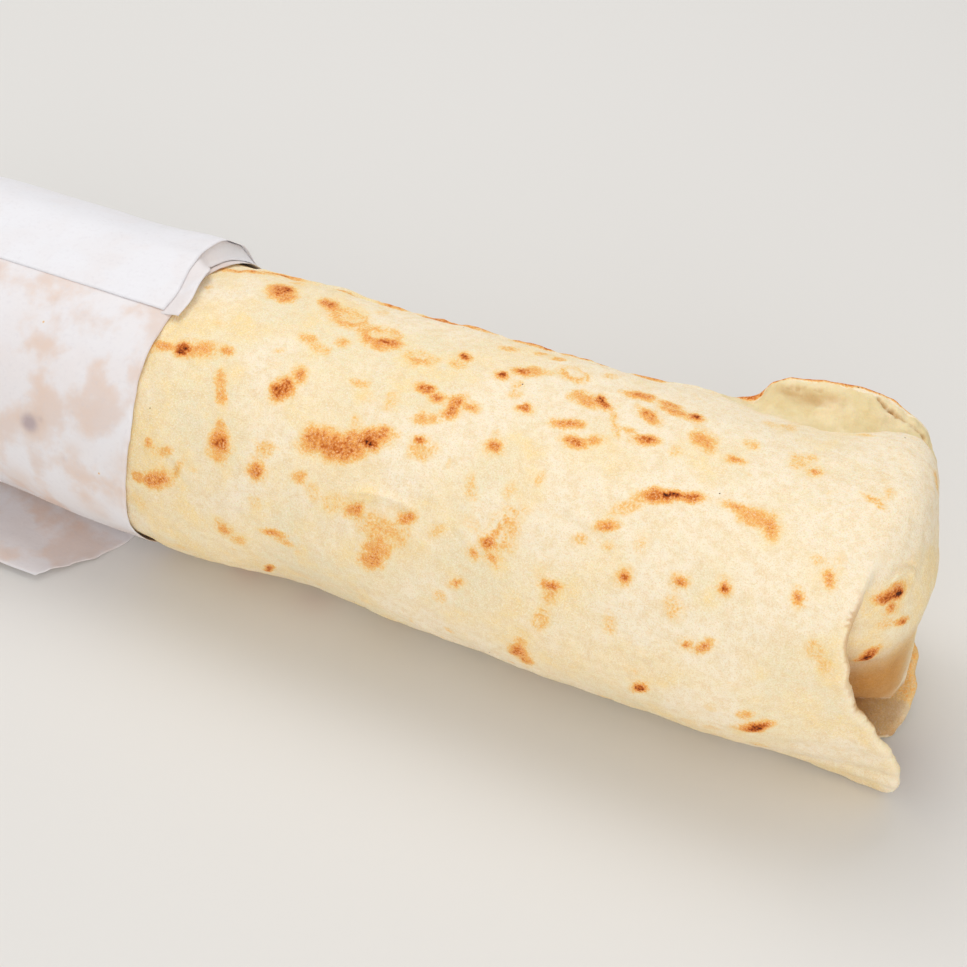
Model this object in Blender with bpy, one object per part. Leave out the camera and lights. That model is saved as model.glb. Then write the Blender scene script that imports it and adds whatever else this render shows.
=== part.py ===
"""Gyro wrap: a flatbread roll lying on its side, its left half in a sheet of greaseproof paper.

Two solids, in metres, +Z up. X runs along the roll towards its folded end, +Y to the back.
The origin is on the roll's flat underside, half way along the whole.
"""

import math

import bmesh
import bpy
from mathutils import Vector

MM = 0.001

# Driving dimensions, in millimetres. Angles are in degrees round the roll: 0 at the back,
# 90 on top, 180 at the front and 270 underneath.
LENGTH = 255.0  # whole wrap, from the paper's closed end to the tip of the ear
HALF_WIDTH = 33.0  # of the roll, across its middle
HEIGHT = 59.4  # of the roll, which lies a little flattened
SINK = 1.0  # how much of the round section the flat underside takes off
BREAD = 2.2  # thickness of one layer of flatbread
PAPER = 0.5  # thickness of the paper
GAP = 0.3  # between bread and paper
MOUTH = -33.0  # along, where the bread comes out of the paper

LEFT_TIP = -LENGTH / 2
BREAD_START = -114.0  # along, the bread's closed end inside the paper
END_FACE = 123.0  # along, the furthest point of the folded-down tongue

# The roll is a little thinner where it leaves the paper: (along, share of the full size).
GIRTH = [(-90, 0.985), (-33, 0.975), (0, 0.99), (30, 1.0)]

# The paper's closed end is pressed flat: (along, share of the height, share of the width).
PRESSED = [
    (LEFT_TIP, 0.06, 0.86),
    (-121, 0.45, 0.92),
    (BREAD_START, 0.78, 0.96),
    (-107, 0.95, 0.99),
    (-98, 1.0, 1.0),
]


def smooth(t):
    t = min(max(t, 0.0), 1.0)
    return t * t * (3 - 2 * t)


def read(table, x, column=1):
    """Value at x of a table of rows sorted by their first number, eased from row to row."""
    if x <= table[0][0]:
        return table[0][column]
    for low, high in zip(table, table[1:]):
        if x <= high[0]:
            part = smooth((x - low[0]) / (high[0] - low[0]))
            return low[column] + (high[column] - low[column]) * part
    return table[-1][column]


def section(x, degrees, inset=0.0):
    """Point of the roll's plain section at x, inset from its skin."""
    size = read(GIRTH, x)
    half_width = HALF_WIDTH * size * read(PRESSED, x, 2) - inset
    top = HEIGHT * size * read(PRESSED, x)
    half_height = (top + SINK) / 2 - inset
    turn = math.radians(degrees)
    up = (top - SINK) / 2 + half_height * math.sin(turn)
    return Vector((x, half_width * math.cos(turn), max(up, inset)))


def grid(name, rows, columns, place, closed=True):
    """Mesh object of a grid of points, one for each row and column, put where place() says."""
    shape = bmesh.new()
    bmesh.ops.create_grid(shape, x_segments=len(rows) - 1, y_segments=len(columns) - 1, size=0.5)
    for vertex in shape.verts:
        row = rows[round((vertex.co.x + 0.5) * (len(rows) - 1))]
        column = columns[round((vertex.co.y + 0.5) * (len(columns) - 1))]
        vertex.co = place(row, column) * MM
    if closed:
        bmesh.ops.remove_doubles(shape, verts=shape.verts, dist=1e-6)
        bmesh.ops.holes_fill(shape, edges=shape.edges)
        bmesh.ops.recalc_face_normals(shape, faces=shape.faces)
        if shape.calc_volume(signed=True) < 0:
            bmesh.ops.reverse_faces(shape, faces=shape.faces)
    mesh = bpy.data.meshes.new(name)
    shape.to_mesh(mesh)
    shape.free()
    obj = bpy.data.objects.new(name, mesh)
    bpy.context.collection.objects.link(obj)
    return obj


def spread(low, high, count):
    return [low + (high - low) * k / (count - 1) for k in range(count)]


def helper(obj):
    """Marks an object that only cuts or joins another."""
    obj.hide_render = True
    obj.display_type = "WIRE"
    return obj


def combine(obj, other, operation):
    modifier = obj.modifiers.new(operation.title() + " " + other.name, "BOOLEAN")
    modifier.operation = operation
    modifier.object = other


def thicken(obj, thickness):
    """Gives a sheet its thickness, inwards from the side that it was drawn on."""
    modifier = obj.modifiers.new("Thickness", "SOLIDIFY")
    modifier.thickness = thickness * MM
    modifier.offset = -1
    modifier.use_even_offset = True


def finish(obj, name, colour, roughness):
    material = bpy.data.materials.new(name)
    material.use_nodes = True
    shader = material.node_tree.nodes["Principled BSDF"]
    shader.inputs["Base Color"].default_value = colour
    shader.inputs["Roughness"].default_value = roughness
    shader.inputs["Metallic"].default_value = 0.0
    obj.data.materials.append(material)
    obj.data.shade_smooth()


# ---------------------------------------------------------------- the filled flatbread roll

# The filled roll rounds off at its right end: (degrees round, along, where the rounding starts).
SHOULDER = [
    (-90, 104),
    (-40, 101),
    (0, 105),
    (45, 110),
    (75, 109),
    (115, 106),
    (140, 102),
    (180, 98),
    (225, 98),
    (270, 104),
]
STRAIGHT_END = 70.0  # along, up to where the sections stand square to the roll
END_CENTRE = (-4.0, 30.0)  # across and up, where the rounding meets
# Power of the curve at the end: (degrees round, power).
END_ROUNDING = [(-60, 3.6), (-20, 4.4), (12, 4.2), (45, 3.6), (90, 4.0), (150, 3.0)]
END_SLANT = 0.27  # how fast the end falls back on either side of its ridge
END_RIDGE = -3.0  # across
RIDGE_RADIUS = 7.0
FOLD = (1.8, 39.5, 6.0)  # the tongue bulges this much where it is bent over, height, reach
FOLD_ACROSS = 16.0
VALLEY_DEPTH = 4.5  # between the tongue and the ridge in front of it
VALLEY_ACROSS = -24.0
VALLEY_WIDTH = 5.0
VALLEY_UP = (55.0, 36.0)  # heights where it starts and where it is whole
TUCKED_IN = 2.5  # how much smaller the bread is at its closed left end, inside the paper
TUCKED_ALONG = 16.0
END_STAGES = 2.0  # the lowest stages, which close the left end
PAPER_STEP = (3.0, 6.0)  # past the mouth the bread comes out to its full size: start, length

# The flatbread's free edge is at the back of the top, and near the end it stands off like a
# collar: (along, rise of its rim).
COLLAR_RISE = [
    (75, 0.0),
    (79, 1.7),
    (82, 5.2),
    (85, 7.3),
    (93, 8.4),
    (100, 9.2),
    (104, 8.9),
    (110, 5.9),
    (117, 1.4),
    (123, 0.4),
]
COLLAR_FOOT = 6.0  # degrees round
COLLAR_RIM = 47.0
COLLAR_CREASE = 56.0
# The crease between the collar and the top climbs into a square corner: (along, rise).
CREASE_RISE = [(75, 0.0), (85, -0.6), (98, -0.6), (112, 2.8)]
# Left of the collar that edge lies flat over the back of the top: (along, depth).
FLAT_BACK = [(-33, 0.2), (-24, 0.8), (-10, 0.5), (-2, 1.6), (20, 1.8), (41, 2.2), (60, 2.0), (70, 0.0)]
FLAT_ROUND = (20.0, 47.0, 74.0)  # degrees: starts, deepest, gone
COLLAR_SWING = 9.0  # how far it has turned towards the back at the corner of the end
SWING_ALONG = (92.0, 114.0)
SWING_ROUND = (-60.0, -10.0, 80.0, 120.0)  # degrees: starts, whole, whole, gone

# Free edge of the outer layer, where it runs on past the filling: degrees round, along, then how
# far it leans across and up from the plain section. Down from the top it is the ridge beside the
# tongue, the ear that lies on the board, the notch and the lower lip.
FREE_EDGE = [
    (100, 117, 0, -7.0),
    (118, 116.5, 0, -2.5),
    (132, 116.5, 0.3, -0.3),
    (148, 116.5, 0.6, 0),
    (160, 118, 3.0, -1.6),
    (175, 119.5, 5.9, -0.6),
    (190, 123, 7.5, -0.6),
    (205, 126, 7.0, 0.6),
    (218, 127.3, 5.6, 0.2),
    (230, 127.5, 2.6, -0.6),
    (241, 126, 0, -2.0),
    (254, 111, 0, 0),
    (268, 121.5, 0, 0.4),
    (277, 123.5, -0.6, 2.4),
    (288, 123.4, -1.7, 4.4),
    (300, 122, -3.7, 5.0),
    (310, 119.5, -4.2, 3.6),
    (325, 112, -3.0, 1.0),
    (335, 106, -2.5, 0),
]
SHEET_START = 84.0  # along, where the outer layer's own sheet begins inside the roll
SHEET_BLEND = 12.0  # over this distance and this many degrees it comes up to the skin
SHEET_BURIED = 1.4  # how deep its buried edges lie
UNDER_SHEET = 0.8  # how far the filled roll stays below that sheet
UNDER_AFTER = 7.0  # it only goes under where the sheet has come up to the skin
FOLLOWS_LEAN = (140.0, 170.0)  # degrees round, where the filled roll starts to lean with the sheet

# The hollow under the tongue: (along, degrees round where its roof meets the front, and the back,
# how far the tongue hangs below the straight line between them).
POCKET = [(101, 222, 305, 0), (108, 188, 312, 3), (116, 178, 318, 6), (131, 178, 318, 6)]
POCKET_INSET = 1.0
LEAN_POWER = 1.5


def ramp(value, low, high):
    return smooth((value - low) / (high - low))


def collar(x, degrees):
    """How far the back layer stands off the plain section here."""
    starts, deepest, gone = FLAT_ROUND
    flat = read(FLAT_BACK, x) * ramp(degrees, starts, deepest) * ramp(degrees, gone, deepest)
    if flat > 0:
        return -flat
    rise = read(COLLAR_RISE, x)
    crease = read(CREASE_RISE, x)
    if COLLAR_FOOT < degrees <= COLLAR_RIM:
        return rise * smooth((degrees - COLLAR_FOOT) / (COLLAR_RIM - COLLAR_FOOT))
    if COLLAR_RIM < degrees < COLLAR_CREASE:
        fall = smooth((degrees - COLLAR_RIM) / (COLLAR_CREASE - COLLAR_RIM))
        return rise + (crease - rise) * fall
    if COLLAR_CREASE <= degrees < 90:
        return crease * (1 - smooth((degrees - COLLAR_CREASE) / (90 - COLLAR_CREASE)))
    return 0.0


def lean(x, degrees):
    """How far the outer layer leans off the plain section here: across and up."""
    share = smooth((x - SHEET_START) / (read(FREE_EDGE, degrees) - SHEET_START)) ** LEAN_POWER
    if not FREE_EDGE[0][0] <= degrees <= FREE_EDGE[-1][0]:
        share = 0
    return Vector((0, read(FREE_EDGE, degrees, 2) * share, read(FREE_EDGE, degrees, 3) * share))


def bump(value, centre, reach):
    """1 at the centre, fading to nothing over about its reach."""
    return math.exp(-(((value - centre) / reach) ** 2))


def swing(x, degrees):
    """How far the collar has turned towards the back here, in degrees."""
    starts, whole, still_whole, gone = SWING_ROUND
    fade = ramp(degrees, starts, whole) * ramp(degrees, gone, still_whole)
    return COLLAR_SWING * ramp(x, *SWING_ALONG) * fade


def filling_inset(x, degrees):
    """How far the filled roll stays under the plain section: for the paper and for the sheet."""
    paper_end = MOUTH + PAPER_STEP[0]
    inset = (PAPER + GAP) * (1 - ramp(x, paper_end, paper_end + PAPER_STEP[1]))
    inset += TUCKED_IN * (1 - ramp(x, BREAD_START, BREAD_START + TUCKED_ALONG))
    inside = min(degrees - FREE_EDGE[0][0], FREE_EDGE[-1][0] - degrees, x - SHEET_START)
    return inset + UNDER_SHEET * ramp(inside, UNDER_AFTER, UNDER_AFTER + SHEET_BLEND)


def filled_roll():
    """The roll with its filling, closed at both ends."""

    def place(stage, degrees):
        # Stages up to STRAIGHT_END are places along, the next 1 reaches the shoulder and the
        # last 1 rounds the end. The lowest stages close the left end.
        around = degrees if degrees <= 270 else degrees - 360
        shoulder = read(SHOULDER, around)
        along = max(min(stage, STRAIGHT_END), BREAD_START)
        along += (shoulder - STRAIGHT_END) * min(max(stage - STRAIGHT_END, 0), 1)
        turn = max(stage - STRAIGHT_END - 1, 0) * math.pi / 2
        power = 2 / read(END_ROUNDING, around)
        shrink = max(math.cos(turn), 0.0) ** power
        across = END_CENTRE[0] + (section(along, degrees).y - END_CENTRE[0]) * shrink
        level = END_CENTRE[1] + (section(along, degrees).z - END_CENTRE[1]) * shrink
        face = END_FACE - END_SLANT * (math.hypot(across - END_RIDGE, RIDGE_RADIUS) - RIDGE_RADIUS)
        face += bump(across, END_RIDGE, FOLD_ACROSS) * FOLD[0] * bump(level, *FOLD[1:])
        face -= bump(across, VALLEY_ACROSS, VALLEY_WIDTH) * VALLEY_DEPTH * ramp(level, *VALLEY_UP)
        x = along + (face - shoulder) * math.sin(turn) ** power
        point = section(x, around - swing(x, around), filling_inset(x, degrees))
        point += (point - Vector((x, 0, HEIGHT / 2))).normalized() * collar(x, around)
        point += lean(x, degrees) * ramp(degrees, *FOLLOWS_LEAN)
        if stage < BREAD_START:
            middle = Vector((x, 0, read(PRESSED, x) * HEIGHT / 2))
            return middle.lerp(point, 1 - (BREAD_START - stage) / END_STAGES)
        return Vector((x, *END_CENTRE)).lerp(point, shrink)

    stages = [BREAD_START - END_STAGES, BREAD_START - 0.6, BREAD_START, -109, -104, -98, -86, -60]
    stages += [*spread(-30, -24, 4), -10, -2, 20, 41, 60, STRAIGHT_END]
    stages += [STRAIGHT_END + step for step in (*spread(0.125, 1, 8), *spread(1.1, 2, 10))]
    rounds = [*spread(-90, 26, 13), 31, 35, 38, 41, 44, 47, 49.5, 52, 56, 61, *spread(68, 270, 24)]
    return grid("flatbread_roll", stages, rounds, place)


def outer_layer():
    """The outermost layer past the filling, with its ridge, ear, notch and lower lip."""

    def place(share, degrees):
        x = SHEET_START + (read(FREE_EDGE, degrees) - SHEET_START) * share
        risen = smooth((x - SHEET_START) / SHEET_BLEND)
        risen *= smooth((degrees - FREE_EDGE[0][0]) / SHEET_BLEND)
        risen *= smooth((FREE_EDGE[-1][0] - degrees) / SHEET_BLEND)
        point = section(x, degrees, SHEET_BURIED * (1 - risen)) + lean(x, degrees)
        point.z = max(point.z, 0)
        return point

    rounds = [*spread(335, 262, 12), 258, 254, 250, 245, *spread(241, 100, 24)]
    sheet = grid("outer_layer", spread(0, 1, 14), rounds, place, closed=False)
    thicken(sheet, BREAD)
    return helper(sheet)


def pocket():
    """Cutter for the hollow between the tongue, the ear and the lower lip."""

    def place(x, step):
        front = read(POCKET, x)
        back = read(POCKET, x, 2)
        if step <= 1:
            degrees = front + (back - front) * step
            return section(x, degrees, POCKET_INSET) + lean(x, degrees)
        roof = (section(x, back, POCKET_INSET) + lean(x, back)).lerp(
            section(x, front, POCKET_INSET) + lean(x, front), step - 1
        )
        roof.z -= read(POCKET, x, 3) * math.sin((step - 1) * math.pi)
        return roof

    steps = [*spread(0, 1, 16), *spread(1.125, 2, 8)]
    return grid("pocket", spread(101, 131, 9), steps, place)


# ---------------------------------------------------------------- the paper

MOUTH_WAVE = 1.5  # the sleeve's right edge runs this much to and fro along
MOUTH_WAVE_TOP = 190.0  # degrees round
WAVE_ALONG = (-60.0, -35.0)

LAP_ROUNDS = (-62.0, 106.0)  # the lap leaves the sleeve under the back and ends on top
LAP_START = -116.0
LAP_MOUTH = -35.0
LAP_LEAVES = (5.0, 2.0)  # degrees and distance in which it leaves the sleeve
# How far its outside lies off the plain section, further left and at the mouth where it stands
# open: (degrees round, distance).
LAP_OFF = [(-62, 1.2), (0, 1.2), (36, 2.9), (72, 2.7), (94, 1.3), (106, 1.2)]
LAP_OFF_MOUTH = [(-62, 1.2), (34, 1.4), (50, 3.6), (62, 4.3), (76, 3.4), (92, 1.8), (106, 1.2)]
OPENS_ALONG = (-62.0, -38.0)

TAIL_LEFT = -112.0
TAIL_START = -6.0  # across, under the roll
TAIL_REACH = 33.4  # how far the tail runs out from there
TAIL_RIGHT = [(0.4, -43.5), (0.65, -46), (0.8, -49.5), (0.93, -52.5), (1.0, -54)]  # share of that, along
TAIL_CORNER = 8.0  # how much its left corner is cut back
TAIL_CURL = 1.2  # how much its end lifts
TAIL_BED = (0.45, 0.35)  # height of its top under the sleeve and further out


def sleeve():
    """The paper's inner turn: a tube round the roll, pressed shut at its left end."""

    def place(row, degrees):
        x, inset = row
        point = section(x, degrees, inset)
        wave = MOUTH_WAVE * math.cos(math.radians(degrees - MOUTH_WAVE_TOP))
        point.x += wave * ramp(x, *WAVE_ALONG)
        return point

    along = [-124, -119, -113, -106, -98, -88, -70, -52, -40, MOUTH]
    rows = [(x, 0.0) for x in (LEFT_TIP, *along)]
    rows += [(x, PAPER) for x in (*reversed(along), LEFT_TIP + 2 * PAPER)]
    return grid("paper_wrap", rows, spread(-90, 270, 49), place)


def lap():
    """The paper's outer turn, over the back and the top, standing off at the mouth."""

    def place(x, degrees):
        at_mouth = ramp(x, *OPENS_ALONG)
        off = read(LAP_OFF, degrees) * (1 - at_mouth) + read(LAP_OFF_MOUTH, degrees) * at_mouth
        off -= PAPER / 3
        off *= min((degrees - LAP_ROUNDS[0]) / LAP_LEAVES[0], 1)
        off *= min((x - LAP_START) / LAP_LEAVES[1], 1)
        return section(x, degrees, -off - PAPER / 3)

    along = [LAP_START, LAP_START + LAP_LEAVES[1], -108, -100, -88, -70, -57, -47, -40, LAP_MOUTH]
    sheet = grid("lap", along, spread(LAP_ROUNDS[1], LAP_ROUNDS[0], 25), place, closed=False)
    thicken(sheet, PAPER)
    return helper(sheet)


def tail():
    """The paper's outer end, lying out on the board in front of the roll."""

    def place(part, share):
        left = TAIL_LEFT + TAIL_CORNER * ramp(share, 0.8, 1)
        along = left + (read(TAIL_RIGHT, share) - left) * part
        top = TAIL_BED[0] + (TAIL_BED[1] - TAIL_BED[0]) * ramp(share, 0, 0.25)
        top += TAIL_CURL * ramp(share, 0.6, 1)
        return Vector((along, TAIL_START - TAIL_REACH * share, top))

    sheet = grid("tail", spread(0, 1, 8), spread(1, 0, 9), place, closed=False)
    thicken(sheet, 0.7 * PAPER)
    return helper(sheet)


for old in list(bpy.data.objects):
    bpy.data.objects.remove(old)

roll = filled_roll()
combine(roll, helper(pocket()), "DIFFERENCE")
combine(roll, outer_layer(), "UNION")
finish(roll, "toasted flatbread", (0.80, 0.68, 0.42, 1), 0.75)

paper = sleeve()
combine(paper, lap(), "UNION")
combine(paper, tail(), "UNION")
finish(paper, "greaseproof paper", (0.84, 0.82, 0.84, 1), 0.55)
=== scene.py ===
"""Gyro wrap: the looks of the toasted flatbread roll and its greaseproof paper.

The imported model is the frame. Lengths below are millimetres in its axes: +X along the roll towards
its folded end, +Y to the back, +Z up. Angles go round the roll: 0 back, 90 top, 180 front.
"""
import math
import random

import bmesh
import bpy
import numpy as np
from mathutils import Matrix, Vector, kdtree, noise


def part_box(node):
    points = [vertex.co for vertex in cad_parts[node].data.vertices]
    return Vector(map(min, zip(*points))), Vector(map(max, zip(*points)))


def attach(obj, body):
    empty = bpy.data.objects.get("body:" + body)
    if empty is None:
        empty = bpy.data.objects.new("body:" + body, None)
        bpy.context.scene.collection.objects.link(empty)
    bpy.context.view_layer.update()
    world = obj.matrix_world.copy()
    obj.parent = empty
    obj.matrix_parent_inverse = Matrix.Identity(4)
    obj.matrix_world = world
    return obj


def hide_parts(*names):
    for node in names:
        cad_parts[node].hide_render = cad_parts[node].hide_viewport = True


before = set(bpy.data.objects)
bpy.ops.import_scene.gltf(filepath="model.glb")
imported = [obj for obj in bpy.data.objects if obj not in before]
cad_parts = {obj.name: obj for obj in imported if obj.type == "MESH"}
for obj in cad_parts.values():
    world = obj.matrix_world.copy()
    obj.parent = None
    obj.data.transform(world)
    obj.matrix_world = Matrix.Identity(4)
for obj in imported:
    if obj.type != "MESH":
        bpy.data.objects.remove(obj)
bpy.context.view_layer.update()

# ---------------------------------------------------------------- The flatbread roll
# One large thin flatbread, rolled round the filling and folded in at its right end. It is soft
# wheat dough about 2 mm thick, baked on a griddle that leaves brown marks where it blistered.

MM = 0.001
bread_low, bread_high = (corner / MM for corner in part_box("flatbread_roll"))
paper_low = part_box("paper_wrap")[0] / MM
TIP = bread_high.x
HALF_WIDTH = -bread_low.y
HEIGHT = bread_high.z
SINK = 1.0  # how much of the round section the flat underside takes off
BREAD = 2.2
PAPER_GAP = 0.8  # how far the bread stays under the plain section inside the paper
FULL_BELOW = 1.3  # it bulges this much low in front at the paper's mouth
MOUTH = -33.0  # where the bread comes out of the paper

# The roll is a little thinner where it leaves the paper: (along, share of the full size).
GIRTH = [(-90, 0.985), (-33, 0.975), (0, 0.99), (30, 1.0)]

# Its left end, inside the paper, is pressed flat: (along, share of the height, of the width).
PRESSED = [
    (paper_low.x, 0.06, 0.86),
    (-121, 0.45, 0.92),
    (-114, 0.78, 0.96),
    (-107, 0.95, 0.99),
    (-98, 1.0, 1.0),
]

# The end's places are distances back from the tip of the ear. The filled roll starts to round off
# at its shoulder: (degrees round, back from the tip).
SHOULDER = [
    (-90, 23.5),
    (-40, 26.5),
    (0, 22.5),
    (45, 17.5),
    (75, 18.5),
    (115, 21.5),
    (140, 25.5),
    (180, 29.5),
    (225, 29.5),
    (270, 23.5),
]
STRAIGHT_END = 70.0
END_CENTRE = (-4.0, 30.0)
END_ROUNDING = [(-60, 3.6), (-20, 4.4), (12, 4.2), (45, 3.6), (90, 4.0), (150, 3.0)]
END_FACE = 4.5  # back from the tip
END_SLANT = 0.27
END_RIDGE = -3.0
RIDGE_RADIUS = 7.0
VALLEY_DEPTH = 4.5  # between the tongue and the ridge in front of it, deeper lower down
VALLEY_ACROSS = -24.0
FOLD = (1.8, 39.5, 6.0)  # the tongue's fold bulges this much, at this height, over this much
FOLD_ACROSS = 16.0

# The flatbread's free edge lies along the back of the top, and near the end it stands off like a
# collar: (along, rise of its rim), with a crease between it and the top.
COLLAR_RISE = [
    (75.0, 0.0),
    (79.0, 1.7),
    (82, 5.2),
    (85, 7.3),
    (93, 8.4),
    (100, 9.2),
    (104, 9.0),
    (110, 6.7),
    (117, 1.4),
    (123, 0.4),
]
COLLAR_FOOT = 6.0
COLLAR_RIM = 47.0
COLLAR_CREASE = 56.0
COLLAR_BAND = (0.2, 0.34)  # share of the way down to the crease: its thick rim, the step below it
BAND_STEP = 0.2  # share of the rise that the step takes
CREASE_RISE = [(75, 0.0), (85, -0.6), (98, -0.6), (112, 2.8)]
COLLAR_SWING = 9.0
# Left of the collar the outer layer lies flat over the back of the top: (along, depth).
FLAT_BACK = [(-33, 0.2), (-24, 0.8), (-10, 0.5), (-2, 1.6), (20, 1.8), (41, 2.2), (60, 2.0), (70, 0.0)]
FLAT_ROUND = (20.0, 47.0, 74.0)  # degrees: starts, deepest, gone
SWING_ALONG = (92.0, 114.0)
SWING_ROUND = (-60.0, -10.0, 80.0, 120.0)

# Free edge of the outer layer past the filling: degrees round, back from the tip, lean across,
# lean up. It is the ridge beside the tongue, the ear on the table, the notch and the lower lip.
FREE_EDGE = [
    (100, 10.5, 0, -7.0),
    (118, 11, 0, -2.5),
    (132, 11, 0.3, -0.3),
    (148, 11, 0.6, 0),
    (160, 9.5, 3.0, -1.6),
    (175, 8, 5.9, -0.6),
    (190, 4.5, 7.5, -0.6),
    (205, 1.5, 7.0, 0.6),
    (218, 0.2, 5.6, 0.2),
    (230, 0, 2.6, -0.6),
    (241, 1.5, 0, -2.0),
    (254, 16.5, 0, 0),
    (268, 6, 0, 0.4),
    (277, 4, -0.6, 2.4),
    (288, 4.1, -1.7, 4.4),
    (300, 5.5, -3.7, 5.0),
    (310, 8, -4.2, 3.6),
    (325, 15.5, -3.0, 1.0),
    (335, 21.5, -2.5, 0),
]
EAR_STRETCH = 0.9  # the ear reaches this much further than its places above
SHEET_START = 84.0  # left of this the outer layer and the filled roll are one
SHEET_BLEND = 12.0  # it comes up out of the roll over this distance or angle
SHEET_BURIED = 1.4
UNDER_SHEET = 0.8  # the filled roll stays this far under it, starting this far in from its edge
UNDER_AFTER = 7.0
LEAN_POWER = 1.5
SHARE_LEANING = (140, 170)  # degrees over which the filled roll starts to lean with it

# The hollow under the tongue: (along, degrees round of its front and back ends, roof's sag).
POCKET = [(101, 222, 305, 0), (108, 188, 312, 3), (116, 178, 318, 6), (131, 178, 318, 6)]
POCKET_ALONG = (101, 131)
POCKET_INSET = 1.0  # its floor is the outer layer, this far in from the skin


def smooth(t):
    t = min(max(t, 0.0), 1.0)
    return t * t * (3 - 2 * t)


def ramp(value, low, high):
    return smooth((value - low) / (high - low))


def read(table, x, column=1):
    """Value at x of a table of rows sorted by their first number, eased from row to row."""
    if x <= table[0][0]:
        return table[0][column]
    for low, high in zip(table, table[1:]):
        if x <= high[0]:
            part = smooth((x - low[0]) / (high[0] - low[0]))
            return low[column] + (high[column] - low[column]) * part
    return table[-1][column]


def spread(low, high, count):
    return [low + (high - low) * k / (count - 1) for k in range(count)]


def section(x, degrees, inset=0.0):
    """Point of the roll's plain section at x, inset from its skin."""
    size = read(GIRTH, x)
    half_width = HALF_WIDTH * size * read(PRESSED, x, 2) - inset
    top = HEIGHT * size * read(PRESSED, x)
    half_height = (top + SINK) / 2 - inset
    turn = math.radians(degrees)
    up = (top - SINK) / 2 + half_height * math.sin(turn)
    return Vector((x, half_width * math.cos(turn), max(up, inset)))


def grid(name, rows, columns, place, closed=True):
    """Mesh object of a grid of points, one for each row and column, put where place() says."""
    shape = bmesh.new()
    bmesh.ops.create_grid(shape, x_segments=len(rows) - 1, y_segments=len(columns) - 1, size=0.5)
    for vertex in shape.verts:
        row = rows[round((vertex.co.x + 0.5) * (len(rows) - 1))]
        column = columns[round((vertex.co.y + 0.5) * (len(columns) - 1))]
        vertex.co = place(row, column) * MM
    if closed:
        bmesh.ops.remove_doubles(shape, verts=shape.verts, dist=1e-6)
        bmesh.ops.holes_fill(shape, edges=shape.edges)
        bmesh.ops.recalc_face_normals(shape, faces=shape.faces)
        if shape.calc_volume(signed=True) < 0:
            bmesh.ops.reverse_faces(shape, faces=shape.faces)
    mesh = bpy.data.meshes.new(name)
    shape.to_mesh(mesh)
    shape.free()
    obj = bpy.data.objects.new(name, mesh)
    bpy.context.collection.objects.link(obj)
    return obj


def settle(obj):
    """Applies an object's modifiers, so that its mesh is what they make."""
    graph = bpy.context.evaluated_depsgraph_get()
    mesh = bpy.data.meshes.new_from_object(obj.evaluated_get(graph))
    obj.modifiers.clear()
    obj.data = mesh
    return obj


def thicken(obj, thickness):
    """Gives a sheet its thickness, inwards from the side that it was drawn on."""
    modifier = obj.modifiers.new("Thickness", "SOLIDIFY")
    modifier.thickness = thickness * MM
    modifier.offset = -1
    modifier.use_even_offset = True
    return settle(obj)


def outwards(degrees):
    """Direction away from the middle of the roll."""
    return Vector((0, math.cos(math.radians(degrees)), math.sin(math.radians(degrees))))


def wander(x, seed, reach):
    """Smooth random walk from -1 to 1 along x, with humps about reach long."""
    return noise.noise(Vector((x / reach, seed, 0.5)))


def rim_at(x):
    """How far round the collar's ragged rim is, in degrees."""
    ragged = 1.6 * wander(x, 3.1, 9) + 0.9 * wander(x, 8.4, 3.5)
    return COLLAR_RIM + ragged * ramp(read(COLLAR_RISE, x), 0, 2)


def collar(x, degrees):
    """How far the back layer stands off the plain section here."""
    rise = read(COLLAR_RISE, x)
    crease = read(CREASE_RISE, x)
    rim = rim_at(x)
    foot_of_rim = COLLAR_CREASE if rise > 4 else rim + 2.5
    starts, deepest, gone = FLAT_ROUND
    flat = read(FLAT_BACK, x) * ramp(degrees, starts, deepest) * ramp(degrees, gone, deepest)
    if flat > 0:
        return -flat
    if COLLAR_FOOT < degrees <= rim:
        return rise * smooth((degrees - COLLAR_FOOT) / (rim - COLLAR_FOOT))
    if rim < degrees < foot_of_rim:
        down = (degrees - rim) / (foot_of_rim - rim)
        fall = BAND_STEP * ramp(down, *COLLAR_BAND)
        fall += (1 - BAND_STEP) * smooth((down - COLLAR_BAND[1]) / (1 - COLLAR_BAND[1]))
        return rise + (crease - rise) * fall
    if foot_of_rim <= degrees < 90:
        return crease * (1 - smooth((degrees - foot_of_rim) / (90 - foot_of_rim)))
    return 0.0


def edge_along(degrees):
    """Where the outer layer's free edge is, along: torn a little unevenly."""
    torn = 0.45 * wander(degrees, 1.7, 12) + 0.35 * wander(degrees, 5.2, 4)
    ear = ramp(degrees, 176, 200) * ramp(degrees, 282, 268)
    return TIP - read(FREE_EDGE, degrees) + min(torn, 0.3) + EAR_STRETCH * ear


def lean(x, degrees):
    """How far the outer layer leans off the plain section here: across and up."""
    if not FREE_EDGE[0][0] <= degrees <= FREE_EDGE[-1][0]:
        return Vector((0, 0, 0))
    whole = TIP - read(FREE_EDGE, degrees) - SHEET_START
    share = smooth((x - SHEET_START) / whole) ** LEAN_POWER
    return Vector((0, read(FREE_EDGE, degrees, 2) * share, read(FREE_EDGE, degrees, 3) * share))


def swing(x, degrees):
    """How far the collar has turned towards the back here, in degrees."""
    starts, whole, still_whole, gone = SWING_ROUND
    fade = ramp(degrees, starts, whole) * ramp(degrees, gone, still_whole)
    return COLLAR_SWING * ramp(x, *SWING_ALONG) * fade


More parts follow.
